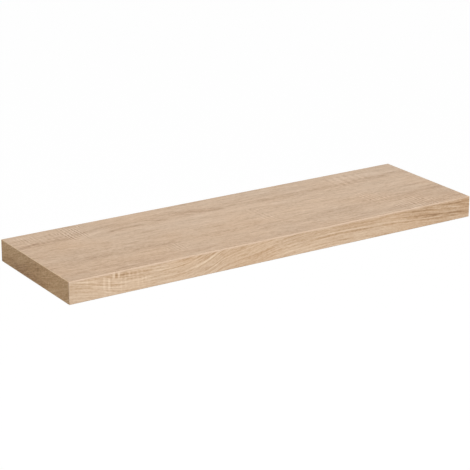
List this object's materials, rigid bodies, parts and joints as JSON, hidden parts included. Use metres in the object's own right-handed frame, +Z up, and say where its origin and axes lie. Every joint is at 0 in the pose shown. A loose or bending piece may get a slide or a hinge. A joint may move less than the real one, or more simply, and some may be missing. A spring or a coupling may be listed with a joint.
{
  "type": "floating wall shelf",
  "caption": "Straight floating wall shelf: a hollow board in light sawn-oak decor, pushed onto the rods of a hidden steel wall bracket and locked by screws from below.",
  "frame": {"origin": "middle of the wall plate's back face, on the wall plane and halfway up the board", "axes": "+Y points into the wall, so the shelf stands out towards -Y; +X runs along the board, to the right when facing the wall; +Z is up"},
  "size_m": [0.8, 0.235, 0.038],
  "materials": {
    "oak_decor": "sawn light oak print on thin fibreboard, matt",
    "oak_edge_band": "sawn light oak print on 1 mm edge band, satin",
    "chipboard": "raw, sawn",
    "honeycomb_paper": "kraft paper",
    "zinc_steel": "bright zinc plated"
  },
  "bodies": {
    "bracket": {"wall_plate": "zinc_steel", "left_rod": "zinc_steel", "right_rod": "zinc_steel"},
    "board": {"top_skin": "oak_decor", "bottom_skin": "oak_decor", "front_edge_band": "oak_edge_band", "left_edge_band": "oak_edge_band", "right_edge_band": "oak_edge_band", "front_rail": "chipboard", "rear_rail": "chipboard", "left_end_rail": "chipboard", "right_end_rail": "chipboard", "left_cross_rail": "chipboard", "right_cross_rail": "chipboard", "honeycomb_left": "honeycomb_paper", "honeycomb_middle": "honeycomb_paper", "honeycomb_right": "honeycomb_paper", "left_lock_screw": "zinc_steel", "right_lock_screw": "zinc_steel"}
  },
  "joints": [
    {"name": "board_slide", "type": "slide", "parent": "bracket", "child": "board", "axis": [0, -1, 0], "range_m": [0, 0.16]}
  ]
}
